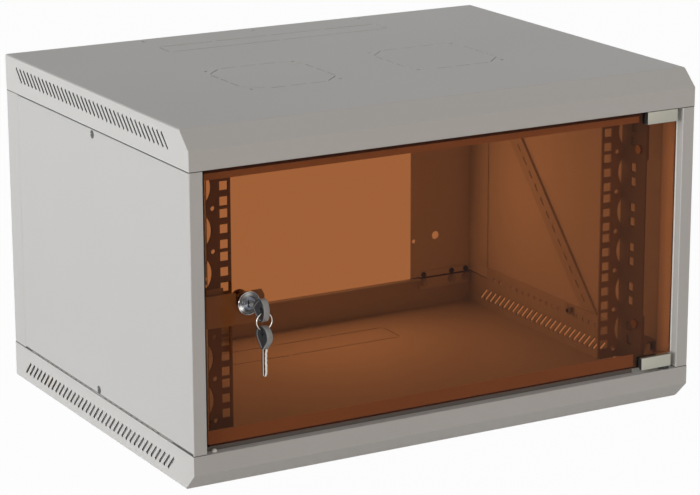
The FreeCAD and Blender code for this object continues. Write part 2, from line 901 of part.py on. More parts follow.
# Pivot pin riveted in the cover flange, at the bottom
def pivot_pin(gap):
    top = low + gap + pivot_depth - seat_gap
    head_top = low - cover_sheet
    head = pin_z(head_top - pivot_head_height, head_top, pivot_x, glass_middle, pivot_head_radius,
                 head_sides)
    return fused([head, rod_z(head_top, top, pivot_x, glass_middle, pivot_radius)])


def pivot_washer():
    top = low + clamp_gap_low - seat_gap
    ring = pin_z(low, top, pivot_x, glass_middle, washer_radius, 2 * head_sides)
    return ring.cut(rod_z(low - 1, top + 1, pivot_x, glass_middle, pivot_radius + pivot_fit))


# Small stud on the base flange that carries the free corner when the door shuts
def door_bumper():
    stud = pin_z(low - cover_sheet, low + bumper_height, -pivot_x, glass_middle, bumper_radius)
    rim = [edge for edge in stud.Edges if edge.BoundBox.ZMin > low]
    return stud.makeChamfer(bumper_chamfer, rim)


# Angle along the cover edge that the glass shuts against
def door_stop(tall):
    y0 = glass_y1 + seat_gap
    x0 = -post_inner + seat_gap
    x1 = clamp_x0 - stop_from_clamp
    upright = box(x0, y0, low, x1, y0 + stop_sheet, low + tall)
    level = box(x0, y0, low, x1, y0 + stop_leg, low + stop_sheet)
    return fused([upright, level])


# Lock housing turned about the lock axis
def lock_body():
    face = glass_y0 - lock_proud
    flange_back = glass_y0
    flange_front = glass_y0 - lock_flange
    bore = plug_radius + plug_fit
    rim = lock_face_radius - lock_bead - lock_rim
    outline = [(bore, face + lock_recess), (rim, face + lock_recess)]
    outline += [(rim, face), (lock_face_radius - lock_bead, face)]
    outline += [(lock_face_radius + lock_flare, flange_front)]
    outline += [(lock_flange_radius - lock_bead, flange_front)]
    outline += [(lock_flange_radius, flange_back), (lock_barrel_radius, flange_back)]
    outline += [(lock_barrel_radius, front + lock_barrel_end), (bore, front + lock_barrel_end)]
    return spun(outline)


# Profile of radius and depth spun about the lock axis
def spun(outline):
    points = [V(lock_x + r, y, lock_height) for r, y in outline]
    face = Part.Face(Part.makePolygon(points + [points[0]]))
    return face.revolve(V(lock_x, 0, lock_height), V(0, 1, 0), 360)


def lock_nut():
    y0 = glass_y1 + lock_plate_gasket + lock_plate_sheet
    outline = [(lock_x + p, lock_height + q) for p, q in hexagon(nut_across)]
    nut = prism_y(outline, y0, y0 + nut_height)
    return nut.cut(rod_y(y0 - 1, y0 + nut_height + 1, lock_x, lock_height, lock_barrel_radius))


def cam_y():
    return front + lock_barrel_end + seat_gap


def lock_plug():
    y0 = glass_y0 - lock_proud + lock_recess
    y1 = cam_y()
    body = rod_y(y0, y1, lock_x, lock_height, plug_radius)
    h = plug_square / 2
    end = box(lock_x - h, y1, lock_height - h, lock_x + h, y1 + cam_sheet, lock_height + h)
    plug = fused([body, end])
    t, w = blade_thick / 2 + plug_fit, blade_wide / 2 + plug_fit
    slot = box(lock_x - t, y0 - 1, lock_height - w, lock_x + t, y0 + blade_in_lock + 1, lock_height + w)
    screw_hole = pin_y(y1 - cam_screw_length - seat_gap, y1 + cam_sheet + 1, lock_x, lock_height,
                       cam_screw_core + plug_fit)
    return plug.cut([slot, screw_hole])


# Cam pointing down when the lock is open
def lock_cam():
    y0 = cam_y()
    y1 = y0 + cam_sheet
    r = cam_width / 2
    tip = lock_height - cam_reach + r
    plate = box(lock_x - r, y0, tip, lock_x + r, y1, lock_height)
    disc = rod_y(y0, y1, lock_x, lock_height, r)
    end = rod_y(y0, y1, lock_x, tip, r)
    h = plug_square / 2 + cam_fit
    hole = box(lock_x - h, y0 - 1, lock_height - h, lock_x + h, y1 + 1, lock_height + h)
    return fused([plate, disc, end]).cut(hole)


def cam_screw():
    y0 = cam_y() + cam_sheet
    head = pin_y(y0, y0 + cam_screw_height, lock_x, lock_height, cam_screw_radius, 2 * head_sides)
    shank = pin_y(y0 - cam_sheet - cam_screw_length, y0, lock_x, lock_height, cam_screw_core)
    slot = box(lock_x - cam_screw_slot / 2, y0 + cam_screw_height - cam_screw_slot,
               lock_height - cam_screw_radius, lock_x + cam_screw_slot / 2,
               y0 + cam_screw_height + 1, lock_height + cam_screw_radius)
    return fused([head, shank]).cut(slot)


# Plate on the back of the glass that spreads the clamp force of the lock nut
def lock_plate():
    y0 = glass_y1 + lock_plate_gasket
    y1 = y0 + lock_plate_sheet
    x0 = -glass_half - lock_plate_left
    x1 = lock_x + lock_plate_right
    z0 = lock_height - lock_plate_down
    z1 = lock_height + lock_plate_up
    c = lock_plate_corner
    outline = [(x0, z0), (x1, z0), (x1, z1 - c), (x1 - c / 2, z1), (x0, z1)]
    plate = prism_y(outline, y0, y1)
    hole = rod_y(y0 - 1, y1 + 1, lock_x, lock_height, lock_barrel_radius)
    open_top = box(lock_x - lock_barrel_radius, y0 - 1, lock_height, lock_x + lock_barrel_radius,
                   y1 + 1, z1 + 1)
    needs_slot = lock_plate_up <= lock_barrel_radius
    return plate.cut([hole, open_top] if needs_slot else [hole])


# Keeper riveted inside the left post, the cam turns in behind it
def lock_keeper():
    y1 = cam_y() - keeper_to_cam
    y0 = y1 - keeper_sheet
    x0 = -panel_inner + post_sheet
    z0 = lock_height - keeper_height / 2
    z1 = lock_height + keeper_height / 2
    arm = box(x0, y0, z0, x0 + keeper_reach, y1, z1)
    leg = box(x0, y0, z0, x0 + keeper_sheet, y0 + keeper_leg, z1)
    keeper = fused([arm, leg])
    cuts = [pin_x(x0 - 1, x0 + keeper_sheet + 1, y, z, rivet_radius) for y, z in keeper_rivet_places()]
    return keeper.cut(cuts)


def keeper_rivet_places():
    y = cam_y() - keeper_to_cam + keeper_leg / 2
    return [(y, lock_height - rivet_spacing / 2), (y, lock_height + rivet_spacing / 2)]


def keeper_holes():
    x0 = -panel_inner
    return [pin_x(x0 - 1, x0 + post_sheet + 1, y, z, rivet_radius) for y, z in keeper_rivet_places()]


def keeper_rivets():
    rivets = []
    x0 = -panel_inner
    x1 = x0 + post_sheet + keeper_sheet
    for y, z in keeper_rivet_places():
        shank = pin_x(x0, x1, y, z, rivet_radius)
        head = pin_x(x1, x1 + rivet_head, y, z, rivet_radius * 2, head_sides)
        rivets.append(fused([shank, head]))
    return rivets


# Key blade along Y with teeth on its lower edge; tip is the end inside the lock
def key_blade(y_shoulder, y_tip):
    t, w = blade_thick / 2, blade_wide / 2
    z = lock_height
    outline = [(y_shoulder, z + w), (y_shoulder, z - w)]
    step = (y_tip - y_shoulder - 2 * blade_tip) / tooth_count
    for k in range(tooth_count):
        y = y_shoulder + blade_tip + k * step
        cut = tooth_depth * (0.6 + 0.4 * math.cos(2.4 * k))
        outline += [(y, z - w), (y + 0.35 * step, z - w + cut), (y + 0.65 * step, z - w + cut)]
    outline += [(y_tip - blade_tip, z - w), (y_tip, z), (y_tip - blade_tip, z + w)]
    blade = prism_x(outline, lock_x - t, lock_x + t)
    groove = box(lock_x + t - groove_depth, y_shoulder - 1, z - blade_groove / 2,
                 lock_x + t + 1, y_tip - 2 * blade_tip, z + blade_groove / 2)
    return blade.cut(groove)


# Moulded round bow in the YZ plane with a hole for the ring
def key_bow(y_centre):
    t = bow_thick / 2
    bow = pin_x(lock_x - t, lock_x + t, y_centre, lock_height, bow_radius, bow_sides)
    rims = [edge for edge in bow.Edges if edge.BoundBox.XLength < 0.001]
    bow = bow.makeChamfer(bow_edge, rims)
    hole_y = y_centre - bow_radius + bow_hole_inset
    hole = pin_x(lock_x - t - 1, lock_x + t + 1, hole_y, lock_height, bow_hole_radius, bow_sides // 2)
    return bow.cut(hole)


def key_in_lock():
    y_shoulder = glass_y0 - lock_proud - bow_start
    y_tip = glass_y0 - lock_proud + lock_recess + blade_in_lock
    bow = key_bow(y_shoulder - bow_radius)
    blade = key_blade(y_shoulder - blade_in_bow, y_tip)
    return bow.cut(blade), blade


def key_ring():
    centre = lock_height - bow_hole_radius + ring_rest + ring_wire - ring_radius
    section = polygon(ring_wire, pin_sides)
    points = [V(lock_x + ring_radius + p, ring_y + q, centre) for p, q in section]
    face = Part.Face(Part.makePolygon(points + [points[0]]))
    return face.revolve(V(lock_x, ring_y, centre), V(0, 1, 0), 360)


# The second key, same mould, hanging blade down from the foot of the ring
def spare_key():
    y_shoulder = glass_y0
    bow = key_bow(y_shoulder - bow_radius)
    blade = key_blade(y_shoulder - blade_in_bow, y_shoulder + spare_blade)
    bow = bow.cut(blade)
    hole_y = y_shoulder - 2 * bow_radius + bow_hole_inset
    ring_foot = lock_height - bow_hole_radius + ring_rest + ring_wire - 2 * ring_radius
    hole_z = ring_foot + ring_wire + ring_rest - bow_hole_radius
    moved = []
    for shape in (bow, blade):
        piece = shape.copy()
        piece.rotate(V(lock_x, hole_y, lock_height), V(1, 0, 0), -90)
        piece.translate(V(0, ring_y - hole_y, hole_z - lock_height))
        moved.append(piece)
    return moved


def earth_place():
    return -half + earth_from_side, back - earth_from_back


# Earthing stud on the base floor, beside the left wall
def earth_stud():
    x, y = earth_place()
    return pin_z(cover_sheet, cover_sheet + stud_length, x, y, stud_radius)


def earth_nuts():
    x, y = earth_place()
    outline = [(x + p, y + q) for p, q in hexagon(earth_nut_across)]
    nuts = []
    for z in (cover_sheet, cover_sheet + earth_nut_step):
        nut = prism_z(outline, z, z + earth_nut_height)
        nuts.append(nut.cut(pin_z(z - 1, z + earth_nut_height + 1, x, y, stud_radius)))
    return nuts


def build():
    os.makedirs("parts", exist_ok=True)
    save("base_tray", [base_tray()])
    save("top_cover", [top_cover()])
    right = {"front_post": front_post(), "rear_post": rear_post(), "side_panel": side_panel()}
    right["panel_brace"] = panel_brace()
    for name, shape in right.items():
        left = mirror_x(shape)
        if name == "front_post":
            left = left.cut(keeper_holes())
        save(name + "_right", [shape])
        save(name + "_left", [left])
    strip = side_strip()
    save("lower_strip_right", [strip])
    save("lower_strip_left", [mirror_x(strip)])
    save("upper_strip_right", [upside_down(strip)])
    save("upper_strip_left", [upside_down(mirror_x(strip))])
    save("panel_screws", panel_screws())
    save("panel_clips", panel_clips())
    rail_right = rail()
    save("rail_right", [rail_right])
    save("rail_left", [half_turn(rail_right)])
    bracket = rail_bracket()
    save("rail_bracket_lower_right", [bracket])
    save("rail_bracket_upper_right", [upside_down(bracket)])
    save("rail_bracket_lower_left", [half_turn(bracket)])
    save("rail_bracket_upper_left", [upside_down(half_turn(bracket))])
    bolts, nuts = rail_bolts()
    save("rail_bolts", bolts)
    save("rail_nuts", nuts)
    save("strip_bolts", strip_bolts())
    bolts, nuts, rivets = frame_fasteners()
    save("frame_bolts", bolts)
    save("frame_nuts", nuts)
    save("plate_rivets", rivets)
    save("door_glass", [door_glass()])
    clamp = hinge_clamp()
    save("hinge_clamp_bottom", [clamp])
    save("hinge_clamp_top", [upside_clamp(clamp)])
    save("clamp_pads", clamp_pads())
    save("clamp_screws", clamp_screws())
    save("pivot_pin_bottom", [pivot_pin(clamp_gap_low)])
    save("pivot_pin_top", [upside_down(pivot_pin(clamp_gap_high))])
    save("pivot_washer", [pivot_washer()])
    save("door_bumper", [door_bumper()])
    save("door_stop_bottom", [door_stop(stop_low_height)])
    save("door_stop_top", [upside_down(door_stop(stop_high_height))])
    save("lock_body", [lock_body()])
    save("lock_nut", [lock_nut()])
    save("lock_plug", [lock_plug()])
    save("lock_cam", [lock_cam()])
    save("cam_screw", [cam_screw()])
    save("lock_plate", [lock_plate()])
    save("lock_keeper", [lock_keeper()])
    save("keeper_rivets", keeper_rivets())
    bow, blade = key_in_lock()
    save("key_bow", [bow])
    save("key_blade", [blade])
    save("key_ring", [key_ring()])
    bow, blade = spare_key()
    save("spare_key_bow", [bow])
    save("spare_key_blade", [blade])
    save("earth_stud", [earth_stud()])
    save("earth_nuts", earth_nuts())


build()
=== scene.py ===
import bpy
import bmesh
import json
import math
from mathutils import Matrix, Vector

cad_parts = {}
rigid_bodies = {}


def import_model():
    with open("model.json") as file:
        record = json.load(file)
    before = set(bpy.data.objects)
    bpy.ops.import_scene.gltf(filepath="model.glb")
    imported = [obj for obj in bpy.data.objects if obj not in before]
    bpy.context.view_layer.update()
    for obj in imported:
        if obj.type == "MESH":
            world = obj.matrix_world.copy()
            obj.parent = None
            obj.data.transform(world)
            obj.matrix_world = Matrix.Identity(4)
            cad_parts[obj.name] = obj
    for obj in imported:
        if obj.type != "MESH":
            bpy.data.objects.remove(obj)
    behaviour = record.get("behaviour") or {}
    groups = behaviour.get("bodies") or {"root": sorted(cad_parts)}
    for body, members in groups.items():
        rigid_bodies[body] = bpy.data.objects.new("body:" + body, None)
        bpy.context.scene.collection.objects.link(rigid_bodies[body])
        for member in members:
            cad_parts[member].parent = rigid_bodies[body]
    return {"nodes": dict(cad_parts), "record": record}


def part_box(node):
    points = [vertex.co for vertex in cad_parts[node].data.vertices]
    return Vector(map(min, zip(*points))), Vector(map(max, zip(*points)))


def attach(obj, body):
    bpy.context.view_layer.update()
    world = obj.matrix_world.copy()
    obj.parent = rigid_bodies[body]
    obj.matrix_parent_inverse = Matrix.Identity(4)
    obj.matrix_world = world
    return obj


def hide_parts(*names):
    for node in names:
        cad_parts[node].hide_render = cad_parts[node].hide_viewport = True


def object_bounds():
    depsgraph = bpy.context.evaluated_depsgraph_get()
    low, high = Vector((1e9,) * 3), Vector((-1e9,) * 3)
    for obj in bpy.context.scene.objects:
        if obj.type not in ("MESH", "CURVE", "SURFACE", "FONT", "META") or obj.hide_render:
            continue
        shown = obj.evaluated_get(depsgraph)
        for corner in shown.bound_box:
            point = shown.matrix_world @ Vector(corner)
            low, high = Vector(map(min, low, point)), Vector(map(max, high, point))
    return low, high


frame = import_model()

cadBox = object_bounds()
print("frame loaded,", len(frame["nodes"]), "nodes")


# a shader socket that takes plain Python maths
class Sock:
    def __init__(self, nodes, out):
        self.nodes = nodes
        self.out = out

    def maths(self, operation, other=None):
        return self.nodes.node("ShaderNodeMath", {"operation": operation}, [self, other])

    def __add__(self, other):
        return self.maths("ADD", other)

    def __radd__(self, other):
        return self.maths("ADD", other)

    def __mul__(self, other):
        return self.maths("MULTIPLY", other)

    def __rmul__(self, other):
        return self.maths("MULTIPLY", other)

    def __sub__(self, other):
        return self.maths("SUBTRACT", other)

    def __rsub__(self, other):
        return self.nodes.node("ShaderNodeMath", {"operation": "SUBTRACT"}, [other, self])

    def __pow__(self, other):
        return self.maths("POWER", other)

    def clamped(self):
        return self.nodes.node("ShaderNodeClamp", {}, [self])


# the nodes of a material or of the world
class Nodes:
    def __init__(self, owner):
        owner.use_nodes = True
        self.tree = owner.node_tree
        self.tree.nodes.clear()

    def link(self, value, socket):
        if isinstance(value, Sock):
            value = value.out
        if isinstance(value, bpy.types.NodeSocket):
            self.tree.links.new(value, socket)
        else:
            socket.default_value = value

    # one way to add any node: its type, its settings, then values or links by place or name
    def node(self, kind, settings, values, output=0):
        made = self.tree.nodes.new(kind)
        for key, value in settings.items():
            setattr(made, key, value)
        pairs = values.items() if isinstance(values, dict) else enumerate(values)
        for key, value in pairs:
            if value is not None:
                self.link(value, made.inputs[key])
        return Sock(self, made.outputs[output]) if made.outputs else None

    # 1 for rays of one of these kinds, such as Camera or Shadow, and 0 for the others
    def rays(self, *kinds):
        found = [self.node("ShaderNodeLightPath", {}, [], "Is " + kind + " Ray") for kind in kinds]
        return sum(found[1:], found[0]).clamped()


class Finish(Nodes):
    def __init__(self, name):
        self.material = bpy.data.materials.new(name)
        super().__init__(self.material)
        self.place = self.node("ShaderNodeTexCoord", {}, {}, "Object")

    def axis(self, index):
        return self.node("ShaderNodeSeparateXYZ", {}, [self.place], index)

    def noise(self, scale, detail=2.0, rough=0.5, vector=None):
        values = {"Vector": vector or self.place, "Scale": scale, "Detail": detail, "Roughness": rough}
        return self.node("ShaderNodeTexNoise", {}, values)

    def stretched(self, scale):
        return self.node("ShaderNodeMapping", {}, {"Vector": self.place, "Scale": scale})

    def mixed(self, factor, first, second):
        return self.node("ShaderNodeMix", {"data_type": "RGBA"}, {0: factor, 6: first, 7: second}, 2)

    # softened edges first, then the bump laid over them
    def bump(self, height, strength, distance, edge=0.0):
        values = {"Strength": strength, "Distance": distance, "Height": height}
        if edge:
            values["Normal"] = self.node("ShaderNodeBevel", {"samples": 6}, {"Radius": edge})
        return self.node("ShaderNodeBump", {}, values)

    # 1 at a corner of the sheet and 0 on the flat
    def corner(self, reach, contrast=9.0):
        soft = self.node("ShaderNodeBevel", {"samples": 8}, {"Radius": reach})
        flat = self.node("ShaderNodeNewGeometry", {}, [], "Normal")
        facing = self.node("ShaderNodeVectorMath", {"operation": "DOT_PRODUCT"}, [soft, flat], "Value")
        return ((1.0 - facing.maths("ABSOLUTE")) * contrast).clamped()

    def surface(self, values):
        return self.node("ShaderNodeBsdfPrincipled", {}, values)

    def finish(self, shader):
        self.node("ShaderNodeOutputMaterial", {}, {"Surface": shader})
        return self.material


def rgb(red, green, blue):
    return (red, green, blue, 1.0)


def middleOf(node):
    low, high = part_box(node)
    return (low + high) / 2


# grey powder coat, from whose values every other coat starts
powderCoat = {
    "colour": rgb(0.550, 0.540, 0.520),
    "shade": rgb(0.515, 0.505, 0.488),
    "patchScale": 7.0,       # cloudy change over a whole panel
    "speckScale": 900.0,
    "speckShare": 0.2,
    "roughness": 0.52,
    "patchRough": 0.10,
    "speckRough": 0.06,
    "peelScale": 520.0,      # orange peel, about 2 mm across
    "peelStrength": 0.35,
    "peelDepth": 0.00004,
    "edge": 0.0007,
}


# a coat may also have a painted highlight, lighter paint on the outside of the side walls, with painted shade
# on their cut faces;
# a painted highlight on its corners; and painted shade near each of its seams: axis, place on it and reach
def makePowderCoat(name, paint):
    f = Finish(name)
    patches = f.noise(paint["patchScale"], 3.0)
    specks = f.noise(paint["speckScale"], 2.0, 0.6)
    share = paint["speckShare"]
    tone = f.mixed(patches * (1.0 - share) + specks * share, paint["shade"], paint["colour"])
    # painted highlight: the outside of the side walls is lighter than the rest of the sheet
    if "sideHighlight" in paint:
        across = f.axis(0).maths("ABSOLUTE")
        tone = f.mixed(across.maths("GREATER_THAN", paint["sideOut"]), tone, paint["sideHighlight"])
        # painted shade: the cut faces inside the vents are dark
        cut = across.maths("GREATER_THAN", paint["sideIn"]) * across.maths("LESS_THAN", paint["sideOut"])
        for index, (least, most) in paint["cutRoom"].items():
            cut = cut * f.axis(index).maths("GREATER_THAN", least) * f.axis(index).maths("LESS_THAN", most)
        tone = f.mixed(cut, tone, paint["cutShade"])
    # painted highlight along the corners of the sheet
    if "highlightTone" in paint:
        tone = f.mixed(f.corner(paint["edge"]) * paint["line"], tone, paint["highlightTone"])
    # painted shade in the gaps at each seam
    for index, edge, reach in paint.get("seams", []):
        near = (f.axis(index) - edge).maths("ABSOLUTE").maths("LESS_THAN", reach)
        tone = f.mixed(near, tone, paint["seamTone"])
    middling = paint["roughness"] - (paint["patchRough"] + paint["speckRough"]) / 2
    peel = f.noise(paint["peelScale"], 2.0, 0.45)
    return f.finish(f.surface({
        "Base Color": tone,
        "Roughness": patches * paint["patchRough"] + specks * paint["speckRough"] + middling,
        "Normal": f.bump(peel, paint["peelStrength"], paint["peelDepth"], paint["edge"]),
    }))


plating = {
    "colour": rgb(0.66, 0.66, 0.64),
    "dull": rgb(0.50, 0.50, 0.47),
    "roughness": 0.34,
    "bloomScale": 160.0,     # cloudy crystals of the zinc
    "bloomRough": 0.14,
    "grainScale": 2400.0,
    "grainStrength": 0.20,
    "grainDepth": 0.00002,
    "edge": 0.0002,
}


def makePlatedSteel(name, metal):
    f = Finish(name)
    bloom = f.noise(metal["bloomScale"], 4.0, 0.6)
    grain = f.noise(metal["grainScale"], 2.0)
    return f.finish(f.surface({
        "Base Color": f.mixed(bloom, metal["dull"], metal["colour"]),
        "Metallic": 1.0,
        "Roughness": bloom * metal["bloomRough"] + metal["roughness"] - 0.05,
        "Normal": f.bump(grain, metal["grainStrength"], metal["grainDepth"], metal["edge"]),
    }))


# bare metal with fine marks, drawn out along the axis with the smallest number
bareMetal = {
    "markRough": 0.10,
    "markStrength": 0.12,
    "markDepth": 0.00002,
}


def makeBareMetal(name, colour, roughness, marks, edge=0.0003, s=bareMetal):
    f = Finish(name)
    fine = f.noise(1.0, 2.0, 0.5, f.stretched(marks))
    return f.finish(f.surface({
        "Base Color": colour,
        "Metallic": 1.0,
        "Roughness": fine * s["markRough"] + roughness - s["markRough"] / 2,
        "Normal": f.bump(fine, s["markStrength"], s["markDepth"], edge),
    }))


# polished metal round the lock's axis, with painted reflections: dark, with light streaks at two angles and a
# light rim painted into its colour
polishReflections = {
    "lowAt": 3.55,           # angle from the right, anticlockwise
    "lowTight": 26.0,
    "highAt": 1.75,
    "highTight": 9.0,
    "highShare": 0.30,
    "rimShare": 0.32,
    "least": 0.06,
    "fineScale": 500.0,
    "fineRough": 0.06,
    "fineStrength": 0.05,
    "fineDepth": 0.00001,
    "edge": 0.0002,
}


def makePolished(name, axis, rim, colour, dark, roughness, s=polishReflections):
    f = Finish(name)
    across = f.axis(0) - axis.x
    above = f.axis(2) - axis.z
    angle = above.maths("ARCTAN2", across)
    low = (angle - s["lowAt"]).maths("COSINE").maths("MAXIMUM", 0.0) ** s["lowTight"]
    high = (angle - s["highAt"]).maths("COSINE").maths("MAXIMUM", 0.0) ** s["highTight"]
    out = (across * across + above * above).maths("SQRT").maths("GREATER_THAN", rim)
    # painted reflections: light streaks at two angles and a lighter rim
    paintedGleam = low + high * s["highShare"] + out * s["rimShare"] + s["least"]
    fine = f.noise(s["fineScale"], 2.0)
    return f.finish(f.surface({
        "Base Color": f.mixed(paintedGleam.clamped(), dark, colour),
        "Metallic": 1.0,
        "Roughness": fine * s["fineRough"] + roughness - s["fineRough"] / 2,
        "Normal": f.bump(fine, s["fineStrength"], s["fineDepth"], s["edge"]),
    }))


# moulded plastic or rubber, a little lighter and duller where it is handled
moulding = {
    "wearScale": 220.0,
    "wearTimes": 1.35,       # a worn place's colour is times this, plus the next
    "wearPlus": 0.004,
    "wearRough": 0.14,
    "grainStrength": 0.25,
    "grainDepth": 0.00003,
}


def makeMoulded(name, colour, roughness, grainScale, edge=0.0004, s=moulding):
    f = Finish(name)
    grain = f.noise(grainScale, 3.0, 0.6)
    wear = f.noise(s["wearScale"], 3.0)
    lighter = rgb(*[min(1.0, c * s["wearTimes"] + s["wearPlus"]) for c in colour[:3]])
    return f.finish(f.surface({
        "Base Color": f.mixed(wear, colour, lighter),
        "Roughness": wear * s["wearRough"] + roughness - s["wearRough"] / 2,
        "Normal": f.bump(grain, s["grainStrength"], s["grainDepth"], edge),
    }))


bronze = {
    "through": rgb(0.352, 0.117, 0.036),   # what 5 mm of the glass leaves of white
    "letsIn": rgb(0.94, 0.925, 0.91),      # light that each face lets in on the way to the inside
    "ior": 1.50,
    "glint": rgb(0.10, 0.10, 0.10),
}


def makeBronzeGlass(name, glass):
    f = Finish(name)
    solid = f.surface({
        "Base Color": glass["through"],
        "Roughness": 0.0,
        "IOR": glass["ior"],
        "Transmission Weight": 1.0,
        "Specular Tint": glass["glint"],
    })
    clear = f.node("ShaderNodeBsdfTransparent", {}, {"Color": glass["letsIn"]})
    return f.finish(f.node("ShaderNodeMixShader", {}, [f.rays("Shadow", "Diffuse"), solid, clear]))


# a powder coat in its own colour, with no softened edge unless it is given
def sheetCoat(name, colour, shade, **more):
    return makePowderCoat(name, {**powderCoat, "edge": 0.0, "colour": colour, "shade": shade, **more})


# one finish for each material of the record
lockAt = middleOf("lock_plug")
darkPlating = {**plating, "colour": rgb(0.16, 0.16, 0.16), "dull": rgb(0.09, 0.09, 0.09), "roughness": 0.45}
brass = {**plating, "colour": rgb(0.72, 0.52, 0.22), "dull": rgb(0.55, 0.38, 0.15), "roughness": 0.32}
railFlange = 0.2546          # from the middle to just outside the rails' side flange
finishes = {
    "grey_sheet": makePowderCoat("greySheet", powderCoat),
    # the rails carry painted shade on their side flanges, which lie in the shadow of their face plates
    "rail_steel": sheetCoat("railCoat", rgb(0.370, 0.330, 0.295), rgb(0.340, 0.305, 0.275),
                            seams=[(0, railFlange, 0.0030), (0, -railFlange, 0.0030)],
                            seamTone=rgb(0.23, 0.22, 0.20)),
    "zinc_steel": makePlatedSteel("zincPlate", plating),
    "dark_screw": makePlatedSteel("darkScrew", darkPlating),
    "brass_nut": makePlatedSteel("brassNut", brass),
    "bronze_glass": makeBronzeGlass("bronzeGlass", bronze),
    "clamp_metal": makeBareMetal("clampMetal", rgb(0.385, 0.378, 0.325), 0.50, (900.0, 900.0, 900.0)),
    "clear_pad": makeMoulded("softPad", rgb(0.012, 0.012, 0.012), 0.6, 900.0, 0.0),
    "chrome": makePolished("chromePlate", lockAt, 0.0112, rgb(0.95, 0.94, 0.92),
                           rgb(0.035, 0.030, 0.028), 0.12),
    "lock_steel": makePolished("lockSteel", lockAt, 0.0063, rgb(0.42, 0.43, 0.48),
                               rgb(0.13, 0.14, 0.17), 0.24),
    "key_steel": makeBareMetal("keySteel", rgb(0.60, 0.575, 0.52), 0.20, (900.0, 120.0, 900.0), 0.0002),
    "key_plastic": makeMoulded("keyPlastic", rgb(0.010, 0.012, 0.016), 0.50, 1400.0),
    "nylon": makeMoulded("nylon", rgb(0.75, 0.75, 0.71), 0.45, 900.0),
}

# coats of the sheet parts that need their own
# painted highlight on the corners of panels and posts
cornerHighlight = {"line": 0.75, "highlightTone": rgb(0.95, 0.95, 0.94)}
postLow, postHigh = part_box("front_post_left")
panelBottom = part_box("side_panel_left")[0].z
sideColours = (rgb(0.665, 0.662, 0.650), rgb(0.632, 0.629, 0.618))
# painted shade in the seams of the side panels and rear posts
sideSeamShade = rgb(0.09, 0.085, 0.08)
innerCoat = makePowderCoat("innerSheet", {**powderCoat, "edge": 0.0})
# painted light: the webs are near white so that the inside of the posts looks lit
webLitCoat = sheetCoat("webLitCoat", rgb(0.93, 0.91, 0.88), rgb(0.90, 0.88, 0.85))
# painted light: the lock plate is lighter and cooler than the grey sheet so that it looks lit behind the
# glass
plateLitCoat = sheetCoat("plateLitCoat", rgb(0.66, 0.68, 0.68), rgb(0.63, 0.65, 0.65))
stopFoldShade = [(2, 0.0385, 0.0078), (2, 0.3268, 0.0032)]   # the folds of the two stops, which lie in shadow
# painted light: the stops are lighter and warmer than the grey sheet, standing in for light tinted by the
# glass
stopTintCoat = sheetCoat("stopStripGlassTint", rgb(0.80, 0.69, 0.60), rgb(0.76, 0.66, 0.57),
                     seams=stopFoldShade, seamTone=rgb(0.10, 0.085, 0.075))
panelCoat = sheetCoat("panelSheet", *sideColours, **cornerHighlight, edge=0.0006,
                      seams=[(2, panelBottom, 0.0008)], seamTone=sideSeamShade)
rearCoat = sheetCoat("rearSheet", *sideColours,
                     seams=[(2, postLow.z, 0.0011), (2, postHigh.z, 0.0011)], seamTone=sideSeamShade)
# posts: painted highlight on the corners and painted shade in the seams at both ends
postCoat = makePowderCoat("postSheet", {
    **powderCoat, **cornerHighlight, "edge": 0.0011, "roughness": 0.36,
    "seams": [(2, postLow.z, 0.0009), (2, postHigh.z, 0.0009)], "seamTone": rgb(0.05, 0.045, 0.04),
})


# covers: the outside of the side walls is painted lighter, a painted highlight as if lit from the side, and
# the cut faces of the vents are painted dark, painted shade inside the slots
coverSheet = {
    "wall": 0.0012,
    "skin": 0.0002,          # how far inside the wall's outer face its cut faces begin
    "nose": 0.035,           # depth of the bevelled front, which has no cut faces
    "back": 0.006,
    "fold": 0.002,
}


def makeCoverCoat(name, node, s):
    low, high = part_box(node)
    return makePowderCoat(name, {
        **powderCoat,
        "sideOut": high.x - s["skin"],
        "sideIn": high.x - s["wall"] - s["skin"],
        "sideHighlight": rgb(0.700, 0.695, 0.680),
        "cutRoom": {1: (low.y + s["nose"], high.y - s["back"]), 2: (low.z + s["fold"], high.z - s["fold"])},
        "cutShade": rgb(0.04, 0.04, 0.04),
    })


byNode = {
    "top_cover": makeCoverCoat("coverSheet", "top_cover", coverSheet),
    "base_tray": makeCoverCoat("traySheet", "base_tray", coverSheet),
    "side_panel": panelCoat, "front_post": postCoat, "rear_post": rearCoat,
    "lower_strip": innerCoat, "upper_strip": innerCoat, "panel_brace": innerCoat,
    "door_stop": stopTintCoat, "lock_plate": plateLitCoat, "lock_keeper": innerCoat,
    "rail_bolts": finishes["brass_nut"], "rail_nuts": finishes["brass_nut"],
    # the pivot washers are black, standing in for the shade in the gap under each clamp
    "pivot_washer": finishes["clear_pad"],
}
for part in frame["record"]["subparts"]:
    node = bpy.data.objects[part["node"]]
    special = [finish for start, finish in byNode.items() if part["node"].startswith(start)]
    node.data.materials.clear()
    node.data.materials.append(special[0] if special else finishes[part["material_slot"]])


# modelling steps that several pieces share
def deselected():
    bpy.ops.object.select_all(action="DESELECT")


def only(piece):
    deselected()
    piece.select_set(True)
    bpy.context.view_layer.objects.active = piece


def applied():
    bpy.ops.object.transform_apply(location=True, rotation=True, scale=True)


def placed(name):
    piece = bpy.context.object
    piece.name = name
    applied()
    return piece


def pickAll():
    bpy.ops.mesh.select_all(action="SELECT")


def editing(piece, mode="FACE"):
    only(piece)
    bpy.ops.object.mode_set(mode="EDIT")
    bpy.ops.mesh.select_mode(type=mode)
    pickAll()


def done():
    bpy.ops.object.mode_set(mode="OBJECT")


# picks faces by a test on their middle and normal, or corners by a test on their place
def pickFaces(piece, test):
    mesh = bmesh.from_edit_mesh(piece.data)
    for face in mesh.faces:
        face.select_set(bool(test(face.calc_center_median(), face.normal)))
    bmesh.update_edit_mesh(piece.data)


